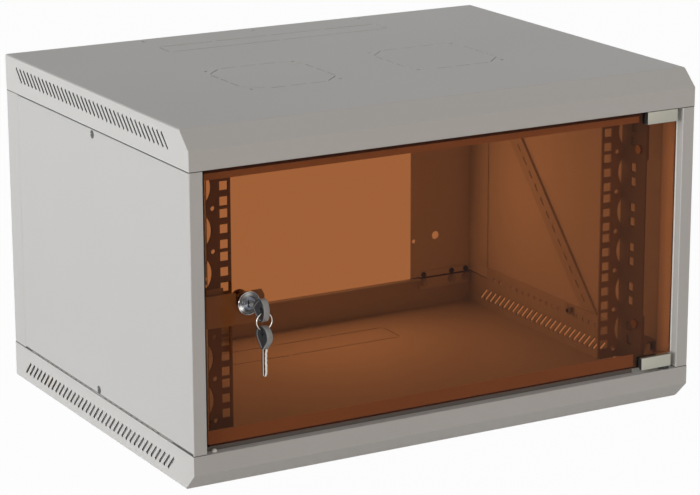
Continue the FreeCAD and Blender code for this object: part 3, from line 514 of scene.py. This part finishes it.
def pickCorners(piece, test):
    mesh = bmesh.from_edit_mesh(piece.data)
    for corner in mesh.verts:
        corner.select_set(bool(test(corner.co)))
    mesh.select_flush_mode()
    bmesh.update_edit_mesh(piece.data)


def modified(piece, kind, settings):
    only(piece)
    modifier = piece.modifiers.new(kind.title(), kind)
    for key, value in settings.items():
        setattr(modifier, key, value)
    bpy.ops.object.modifier_apply(modifier=modifier.name)


def joinedBy(piece, other, operation):
    modified(piece, "BOOLEAN", {"operation": operation, "solver": "EXACT", "object": other})
    bpy.data.objects.remove(other, do_unlink=True)


def cutBy(piece, cutter):
    joinedBy(piece, cutter, "DIFFERENCE")


def roundedEdges(piece, width, segments=2, angle=30.0):
    modified(piece, "BEVEL", {"width": width, "segments": segments, "limit_method": "ANGLE",
                              "angle_limit": math.radians(angle), "use_clamp_overlap": True})


def smoothed(piece, angle=32.0):
    only(piece)
    bpy.ops.object.shade_smooth_by_angle(angle=math.radians(angle))


def block(name, low, high):
    deselected()
    middle = [(a + b) / 2 for a, b in zip(low, high)]
    bpy.ops.mesh.primitive_cube_add(size=1.0, location=middle, scale=[b - a for a, b in zip(low, high)])
    return placed(name)


alongX = (0.0, math.pi / 2, 0.0)
alongY = (math.pi / 2, 0.0, 0.0)
alongZ = (0.0, 0.0, 0.0)


def rod(name, middle, radius, length, turn, sides=32):
    deselected()
    bpy.ops.mesh.primitive_cylinder_add(vertices=sides, radius=radius, depth=length,
                                        location=middle, rotation=turn)
    return placed(name)


# turned about an axis along Y: radius and depth behind the front, drawn ring by ring
def turned(name, x, z, front, profile, sides, solid):
    deselected()
    radius, depth = profile[0]
    filling = "NGON" if solid else "NOTHING"
    bpy.ops.mesh.primitive_circle_add(vertices=sides, radius=radius, fill_type=filling,
                                      location=(x, front + depth, z), rotation=alongY)
    piece = placed(name)
    editing(piece, "FACE" if solid else "EDGE")
    for nextRadius, nextDepth in profile[1:]:
        bpy.ops.mesh.extrude_region_move(TRANSFORM_OT_translate={"value": (0, nextDepth - depth, 0)})
        grow = nextRadius / radius
        if abs(grow - 1) > 1e-6:
            bpy.ops.transform.resize(value=(grow, 1, grow), center_override=(x, front + nextDepth, z))
        radius, depth = nextRadius, nextDepth
    pickAll()
    bpy.ops.mesh.remove_doubles(threshold=1e-6)
    bpy.ops.mesh.normals_make_consistent(inside=False)
    done()
    return piece


def twoTone(piece, faceTest, second):
    piece.data.materials.append(second)
    for face in piece.data.polygons:
        if faceTest(face.center, face.normal):
            face.material_index = 1


def dressed(piece, slot, body, nodes, material=None):
    piece.data.materials.clear()
    piece.data.materials.append(material or finishes[slot])
    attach(piece, body)
    if nodes:
        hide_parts(*nodes)


# webs that close the front posts on the inside, open where the keeper comes through
postWeb = {
    "sheet": 0.0010,
    "skin": 0.0002,          # how far inside the post's outline the web lies
    "fromFront": 0.0097,
    "fromBack": 0.0003,
    "fromEnds": 0.0018,
    "keeperRoom": 0.003,
    "rounding": 0.0003,
}


def makePostWeb(name, node, spans, s):
    low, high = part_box(node)
    inner, outward = (low.x, 1) if low.x > 0 else (high.x, -1)
    sides = sorted((inner + outward * s["skin"], inner + outward * (s["skin"] + s["sheet"])))
    webs = []
    for bottom, top in spans:
        web = block(name, (sides[0], low.y + s["fromFront"], bottom), (sides[1], high.y - s["fromBack"], top))
        roundedEdges(web, s["rounding"])
        webs.append(web)
    only(webs[0])
    for web in webs:
        web.select_set(True)
    if len(webs) > 1:
        bpy.ops.object.join()
    smoothed(webs[0])
    dressed(webs[0], "grey_sheet", "cabinet", [], webLitCoat)


def makePostWebs(s):
    rightLow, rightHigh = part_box("front_post_right")
    keeperLow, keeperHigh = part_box("lock_keeper")
    bottom, top = rightLow.z + s["fromEnds"], rightHigh.z - s["fromEnds"]
    room = s["keeperRoom"]
    makePostWeb("postWebRight", "front_post_right", [(bottom, top)], s)
    spans = [(bottom, keeperLow.z - room), (keeperHigh.z + room, top)]
    makePostWeb("postWebLeft", "front_post_left", spans, s)


# above each side panel: a folded lip of its paint, and black foam in what is left of the gap
panelSeal = {
    "lip": 0.0015,
    "gap": 0.0029,
    "foamIn": 0.0007,
    "rounding": 0.0002,
}


def makePanelSeals(s):
    for side, node in (("Left", "side_panel_left"), ("Right", "side_panel_right")):
        low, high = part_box(node)
        lipTop, foamTop = high.z + s["lip"], high.z + s["gap"]
        lip = block("panelLip" + side, (low.x, low.y, high.z), (high.x, high.y, lipTop))
        roundedEdges(lip, s["rounding"])
        smoothed(lip)
        dressed(lip, "grey_sheet", "cabinet", [], panelCoat)
        sides = (low.x + s["foamIn"], high.x) if side == "Left" else (low.x, high.x - s["foamIn"])
        foam = block("panelFoam" + side, (sides[0], low.y, lipTop), (sides[1], high.y, foamTop))
        roundedEdges(foam, s["rounding"])
        smoothed(foam)
        dressed(foam, "clear_pad", "cabinet", [])


# hexagon nut on the lock's barrel, behind the plate
lockNut = {
    "corner": 0.0101,
    "bore": 0.00898,
    "boreSides": 64,
    "rounding": 0.0002,
}


def makeLockNut(s):
    low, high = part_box("lock_nut")
    middle = middleOf("lock_nut")
    nut = rod("lockNut", middle, s["corner"], high.y - low.y, alongY, 6)
    cutBy(nut, rod("nutBore", middle, s["bore"], 0.02, alongY, s["boreSides"]))
    roundedEdges(nut, s["rounding"], 2, 50.0)
    smoothed(nut)
    dressed(nut, "zinc_steel", "door", ["lock_nut"])


# cam lock: chromed body with a recessed face and a threaded barrel behind the glass
# its profiles are radius and depth in millimetres
camLock = {
    "sides": 96,
    "bore": 7.05,
    "mouth": 1.0,            # depth at which the bore begins
    "face": [(7.5, 0.6), (7.8, 0.0), (8.3, 0.0), (8.6, 0.5), (8.8, 0.5), (9.0, 0.3)],
    "cone": [(10.6, 1.5), (10.8, 2.0), (11.1, 2.0), (11.25, 1.6), (11.6, 1.3), (11.9, 1.6), (12.0, 2.2)],
    "flange": [(12.0, 3.2), (11.7, 3.7), (10.8, 4.1), (10.5, 4.4), (10.5, 9.4), (10.3, 9.8)],
    "barrel": 8.95,
    "threadRoot": 8.5,
    "threadFrom": 15.6,
    "threadPitch": 1.0,
    "plainEnd": 0.4,         # least length without thread at the back
    "chamfer": 0.3,
}


def makeLockBody(s):
    low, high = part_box("lock_body")
    middle = middleOf("lock_body")
    end = (high.y - low.y) * 1000
    bore, barrel, pitch, depth = s["bore"], s["barrel"], s["threadPitch"], s["threadFrom"]
    profile = [(bore, s["mouth"])] + s["face"] + s["cone"] + s["flange"] + [(barrel, s["flange"][-1][1])]
    while depth + pitch < end - s["plainEnd"]:
        profile += [(barrel, depth), (s["threadRoot"], depth + 0.5 * pitch)]
        depth += pitch
    profile += [(barrel, depth), (barrel, end - s["chamfer"]), (barrel - s["chamfer"], end)]
    profile += [(bore, end), (bore, s["mouth"])]
    metres = [(radius / 1000, along / 1000) for radius, along in profile]
    piece = turned("lockBody", middle.x, middle.z, low.y, metres, s["sides"], False)
    smoothed(piece, 28.0)
    dressed(piece, "chrome", "door", ["lock_body"])


lockPlug = {
    "sides": 64,
    "radius": 0.0069,
    "rim": 0.0004,           # rounding of the front edge
    "ring": 0.0057,          # shallow groove in the face
    "step": 0.0003,          # half the groove's width, its depth and the chamfer at the back
    "keyWide": 0.0031,
    "keyTall": 0.0081,
    "keyDeep": 0.0212,
    "square": 0.0070,
    "overlap": 0.0004,       # of the square with the plug, and of the slot's cutter past the front
    "rounding": 0.0003,
}


def makeLockPlug(s):
    low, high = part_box("lock_plug")
    x, z = lockAt.x, lockAt.z
    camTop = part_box("lock_cam")[0].y
    deep = camTop - low.y
    r, g, step = s["radius"], s["ring"], s["step"]
    profile = [(r - step, deep), (r, deep - step), (r, s["rim"]), (r - s["rim"], 0.0),
               (g + step, 0.0), (g, step), (g - step, 0.0)]
    piece = turned("lockPlug", x, z, low.y, profile, s["sides"], True)
    wide, tall = s["keyWide"] / 2, s["keyTall"] / 2
    cutBy(piece, block("keySlot", (x - wide, low.y - s["overlap"], z - tall),
                       (x + wide, low.y + s["keyDeep"], z + tall)))
    h = s["square"] / 2
    tang = block("plugTang", (x - h, camTop - s["overlap"], z - h), (x + h, high.y, z + h))
    roundedEdges(tang, s["rounding"])
    joinedBy(piece, tang, "UNION")
    smoothed(piece, 28.0)
    dressed(piece, "lock_steel", "lock_core", ["lock_plug"])
    # painted shade: the side walls of the key slot are black
    twoTone(piece, lambda middle, normal: abs(normal.x) > 0.9 and abs(middle.x - x) < s["keyWide"]
            and middle.y < low.y + s["keyDeep"], finishes["clear_pad"])


# keys: moulded head with a raised rim, and a blade with teeth and a groove on each side
key = {
    "thick": 0.0064,
    "headRadius": 0.01165,
    "headLong": 0.80,        # the head is a little shorter than it is wide
    "neckRadius": 0.0032,
    "holeRadius": 0.0040,
    "holeFromEnd": 0.0056,
    "rimWidth": 0.0017,
    "rimSlope": 0.0003,
    "rimDepth": 0.90,        # share of the thickness left between the recessed faces
    "holeMargin": 0.0008,    # round the hole, in the head's own colour
    "rounding": 0.0005,
    "bladeIn": 0.001,        # how far the blade reaches into the head
    "bladeShort": 0.0004,    # how far the first key's tip stays inside its box
    "teeth": [(0.10, 0.0), (0.17, 1.3), (0.25, 0.4), (0.33, 1.5), (0.42, 0.7), (0.50, 1.6), (0.60, 0.3),
              (0.68, 1.2), (0.78, 0.5), (0.86, 1.1), (0.93, 1.9)],   # share of the length, millimetres up
    "tip": (1.0, 3.2),
    "tipDown": 0.0024,
    "grooveAbove": 0.001,    # from the blade's middle
    "grooveHalf": 0.0008,
    "grooveSlope": 0.0002,
    "grooveDepth": 0.0005,
    "bladeRounding": 0.00015,
}


# head with its end at y, its neck further along +Y, in the plane of X = x
def keyHead(name, x, y, z, length, s):
    half, neck = s["headRadius"], s["neckRadius"]
    body = rod(name, (x, y + half, z), half, s["thick"], alongX, 64)
    editing(body)
    bpy.ops.transform.resize(value=(1, s["headLong"], 1), center_override=(x, y, z))
    bpy.ops.mesh.primitive_cylinder_add(vertices=32, radius=neck, depth=s["thick"],
                                        location=(x, y + length - neck, z), rotation=alongX)
    pickAll()
    bpy.ops.mesh.convex_hull()
    pickAll()
    bpy.ops.mesh.dissolve_limited(angle_limit=math.radians(1.0))
    pickFaces(body, lambda middle, normal: abs(normal.x) > 0.9)
    bpy.ops.mesh.inset(thickness=s["rimWidth"], depth=0.0)
    bpy.ops.mesh.inset(thickness=s["rimSlope"], depth=0.0)
    bpy.ops.transform.resize(value=(s["rimDepth"], 1, 1), center_override=(x, y + half, z))
    done()
    cutBy(body, rod("ringHole", (x, y + s["holeFromEnd"], z), s["holeRadius"], 0.02, alongX, 40))
    roundedEdges(body, s["rounding"], 2, 40.0)
    smoothed(body, 35.0)
    return body


def keyBlade(name, x, z, start, end, wide, thick, s):
    body = block(name, (x - thick / 2, start, z - wide / 2), (x + thick / 2, end, z + wide / 2))
    length = end - start
    groove = z + s["grooveAbove"]
    editing(body)
    for share, _ in s["teeth"]:
        pickAll()
        bpy.ops.mesh.bisect(plane_co=(x, start + share * length, z), plane_no=(0, 1, 0))
    for level in (groove - s["grooveHalf"], groove + s["grooveHalf"]):
        pickAll()
        bpy.ops.mesh.bisect(plane_co=(x, start, level), plane_no=(0, 0, 1))
    pickFaces(body, lambda middle, normal: abs(normal.x) > 0.9 and abs(middle.z - groove) < s["grooveHalf"])
    bpy.ops.mesh.inset(thickness=s["grooveSlope"], depth=-s["grooveDepth"])
    bpy.ops.mesh.select_mode(type="VERT")
    for share, lift in s["teeth"] + [s["tip"]]:
        y = start + share * length
        pickCorners(body, lambda place: abs(place.y - y) < 1e-5 and place.z < z - wide / 2 + 1e-5)
        bpy.ops.transform.translate(value=(0, 0, lift / 1000))
    pickCorners(body, lambda place: abs(place.y - end) < 1e-5 and place.z > z + wide / 2 - 1e-5)
    bpy.ops.transform.translate(value=(0, 0, -s["tipDown"]))
    done()
    roundedEdges(body, s["bladeRounding"], 1, 30.0)
    smoothed(body, 30.0)
    return body


# a key modelled along +Y from the origin is hung down from its end
def hungDown(piece, y, z):
    only(piece)
    piece.rotation_euler = (-math.pi / 2, 0, 0)
    piece.location = (0, y, z)
    applied()


# the head's rim is a lighter grey, which also stands in for a highlight on its rounded face, apart from the
# edge of its hole
def rimmed(head, y, z, tone, s):
    room = s["holeRadius"] + s["holeMargin"]
    twoTone(head, lambda middle, normal: abs(normal.x) < 0.8
            and math.hypot(middle.y - y, middle.z - z) > room, tone)


def makeKeys(s):
    # two-tone moulding whose grey rim also stands in for the highlight on the rounded rim
    rim = makeMoulded("keyRimHighlight", rgb(0.235, 0.235, 0.230), 0.34, 1400.0)
    low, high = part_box("key_bow")
    bladeLow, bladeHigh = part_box("key_blade")
    x, _, z = middleOf("key_bow")
    thick, _, wide = bladeHigh - bladeLow
    length = high.y - low.y
    head = keyHead("keyHead", x, low.y, z, length, s)
    dressed(head, "key_plastic", "lock_core", ["key_bow"])
    rimmed(head, low.y + s["holeFromEnd"], z, rim, s)
    blade = keyBlade("keyBlade", x, z, high.y - s["bladeIn"], bladeHigh.y - s["bladeShort"], wide, thick, s)
    dressed(blade, "key_steel", "lock_core", ["key_blade"])

    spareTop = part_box("spare_key_bow")[1].z
    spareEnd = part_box("spare_key_blade")[0].z
    y = middleOf("spare_key_bow").y
    spareHead = keyHead("spareKeyHead", x, 0.0, 0.0, length, s)
    hungDown(spareHead, y, spareTop)
    dressed(spareHead, "key_plastic", "spare_key", ["spare_key_bow"])
    rimmed(spareHead, y, spareTop - s["holeFromEnd"], rim, s)
    spareBlade = keyBlade("spareKeyBlade", x, 0.0, length - s["bladeIn"], spareTop - spareEnd, wide, thick, s)
    hungDown(spareBlade, y, spareTop)
    dressed(spareBlade, "key_steel", "spare_key", ["spare_key_blade"])


# split ring: two turns of wire side by side
splitRing = {
    "wire": 0.00036,
    "wireSides": 10,
    "wider": 1.6,            # the wire is flat, wider across the ring than along its axis
    "turns": 1.94,
    "steps": 144,
}


def makeSplitRing(s):
    low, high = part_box("key_ring")
    middle = middleOf("key_ring")
    wireAt = (high.x - low.x) / 2 - 2 * s["wire"]
    climb = s["wire"] * s["turns"]
    deselected()
    bpy.ops.mesh.primitive_circle_add(vertices=s["wireSides"], radius=s["wire"], fill_type="NOTHING",
                                      location=(wireAt, 0, 0))
    piece = placed("splitRing")
    editing(piece, "EDGE")
    bpy.ops.transform.resize(value=(s["wider"], 1.0, 1.0), center_override=(wireAt, 0, 0))
    done()
    modified(piece, "SCREW", {"axis": "Y", "angle": 2 * math.pi * s["turns"], "screw_offset": climb,
                              "steps": s["steps"], "render_steps": s["steps"], "use_merge_vertices": False})
    editing(piece, "EDGE")
    bpy.ops.mesh.fill_holes(sides=0)
    bpy.ops.mesh.normals_make_consistent(inside=False)
    done()
    piece.location = (middle.x, middle.y - climb / 2, middle.z)
    applied()
    smoothed(piece, 60.0)
    dressed(piece, "key_steel", "ring", ["key_ring"])


# cast clamps that hold the glass at its two pivots
hingeClamp = {
    "endBlock": 0.016,
    "liner": 0.0005,
    "spill": 0.002,          # how far the slot's cutter passes the clamp
    "bore": 0.00255,
    "boreLong": 0.0165,      # half of it lies in the clamp
    "rounding": 0.0005,
    "screwFrom": (0.008, 0.019),
    "screwBore": 0.0016,
    "screwLong": 0.012,
}


def makeHingeClamp(which, s):
    node = "hinge_clamp_" + which
    low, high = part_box(node)
    glassLow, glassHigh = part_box("door_glass")
    pin = middleOf("pivot_pin_" + which)
    piece = block("hingeClamp" + which.title(), low, high)
    roundedEdges(piece, s["rounding"], 3)
    cutBy(piece, block("glassSlot", (low.x - s["spill"], glassLow.y - s["liner"], low.z - s["spill"]),
                       (high.x - s["endBlock"], glassHigh.y + s["liner"], high.z + s["spill"])))
    outer = low.z if which == "bottom" else high.z
    cutBy(piece, rod("pivotBore", (pin.x, pin.y, outer), s["bore"], s["boreLong"], alongZ, 40))
    for step in s["screwFrom"]:
        screwAt = (low.x + step, high.y, (low.z + high.z) / 2)
        cutBy(piece, rod("screwBore", screwAt, s["screwBore"], s["screwLong"], alongY))
    smoothed(piece)
    dressed(piece, "clamp_metal", "door", [node])
    twoTone(piece, lambda middle, normal: normal.x < -0.8 and middle.x < low.x + 0.001, finishes["clear_pad"])


makePostWebs(postWeb)
makePanelSeals(panelSeal)
makeLockNut(lockNut)
makeLockBody(camLock)
makeLockPlug(lockPlug)
makeKeys(key)
makeSplitRing(splitRing)
for which in ("top", "bottom"):
    makeHingeClamp(which, hingeClamp)
print("webs, seals, lock, keys and clamps modelled")


# floor, light and camera
studio = {
    "floorReach": 14.0,
    "floorBelow": 0.0005,
    "floorColour": rgb(0.80, 0.80, 0.80),
    "floorWhite": 0.97,          # share of plain white that the camera sees, the rest takes the shadow
    "ambient": 0.28,
    "sideSun": 2.95,
    "sideSunFrom": (-0.95, -0.22, 0.0),
    "sideColour": (1.0, 1.0, 1.0),
    "frontSun": 0.86,
    "frontSunFrom": (-0.15, -1.0, 0.0),
    "frontColour": (1.0, 0.80, 0.64),
    "sunSoftness": 40.0,
    "backWindow": 0.90,          # light that comes in by the open back, from just inside it
    "backWindowAt": (0.07, 0.212, 0.195),
    "backWindowAim": (0.07, -1.0, 0.05),
    "backWindowSize": (0.26, 0.22),
}


def makeFloor(s):
    deselected()
    bpy.ops.mesh.primitive_plane_add(size=s["floorReach"], location=(0, 0, cadBox[0].z - s["floorBelow"]))
    floor = placed("studioFloor")
    f = Finish("floorPaper")
    paper = f.node("ShaderNodeBsdfDiffuse", {}, {"Color": s["floorColour"]})
    glow = f.node("ShaderNodeEmission", {}, {"Color": rgb(1, 1, 1), "Strength": 1.0})
    seen = f.rays("Camera", "Glossy", "Transmission") * s["floorWhite"]
    floor.data.materials.append(f.finish(f.node("ShaderNodeMixShader", {}, [seen, paper, glow])))


# white where it is seen, and dimmer where it only gives light
def makeWorld(s):
    world = bpy.data.worlds.new("studioWorld")
    bpy.context.scene.world = world
    sky = Nodes(world)
    seen = sky.rays("Camera", "Glossy", "Transmission")
    level = seen * (1.0 - s["ambient"]) + s["ambient"]
    glow = sky.node("ShaderNodeBackground", {}, {"Color": rgb(1, 1, 1), "Strength": level})
    sky.node("ShaderNodeOutputWorld", {}, {"Surface": glow})


def aimed(lamp, at, toward):
    lamp.location = at
    direction = Vector(toward) - Vector(at)
    lamp.rotation_euler = direction.to_track_quat("-Z", "Y").to_euler()


def makeSun(name, strength, source, colour, softness):
    bpy.ops.object.light_add(type="SUN")
    sun = bpy.context.object
    sun.name = name
    sun.data.energy = strength
    sun.data.color = colour
    sun.data.angle = math.radians(softness)
    aimed(sun, tuple(3 * c for c in source), (0, 0, 0))


def makeLamps(s):
    makeSun("sideSun", s["sideSun"], s["sideSunFrom"], s["sideColour"], s["sunSoftness"])
    makeSun("frontSun", s["frontSun"], s["frontSunFrom"], s["frontColour"], s["sunSoftness"])
    bpy.ops.object.light_add(type="AREA")
    window = bpy.context.object
    window.name = "backWindow"
    window.data.shape = "RECTANGLE"
    window.data.energy = s["backWindow"]
    window.data.size, window.data.size_y = s["backWindowSize"]
    window.visible_camera = False
    window.visible_transmission = False
    window.visible_glossy = False
    aimed(window, s["backWindowAt"], s["backWindowAim"])


shot = {
    "at": (-1.43960, -2.55385, 0.95864),
    "azimuth": 29.5013,
    "elevation": 15.2269,
    "roll": -0.1494,
    "focalPixels": 2768.84,
    "imageWidth": 700.0,
}


def makeCamera(s):
    bpy.ops.object.camera_add()
    camera = bpy.context.object
    az, el, roll = (math.radians(s[key]) for key in ("azimuth", "elevation", "roll"))
    ahead = Vector((math.sin(az) * math.cos(el), math.cos(az) * math.cos(el), -math.sin(el)))
    right = Vector((math.cos(az), -math.sin(az), 0))
    above = Vector((math.sin(az) * math.sin(el), math.cos(az) * math.sin(el), math.cos(el)))
    turnedRight = math.cos(roll) * right + math.sin(roll) * above
    turnedUp = math.cos(roll) * above - math.sin(roll) * right
    frameOf = Matrix((turnedRight, turnedUp, -ahead)).transposed().to_4x4()
    camera.matrix_world = Matrix.Translation(s["at"]) @ frameOf
    camera.data.sensor_width = 36.0
    camera.data.lens = s["focalPixels"] / s["imageWidth"] * camera.data.sensor_width
    camera.data.clip_start = 0.05
    camera.data.clip_end = 60.0
    bpy.context.scene.camera = camera


makeFloor(studio)
makeWorld(studio)
makeLamps(studio)
makeCamera(shot)
bpy.context.scene.view_settings.view_transform = "Standard"
print("studio ready")
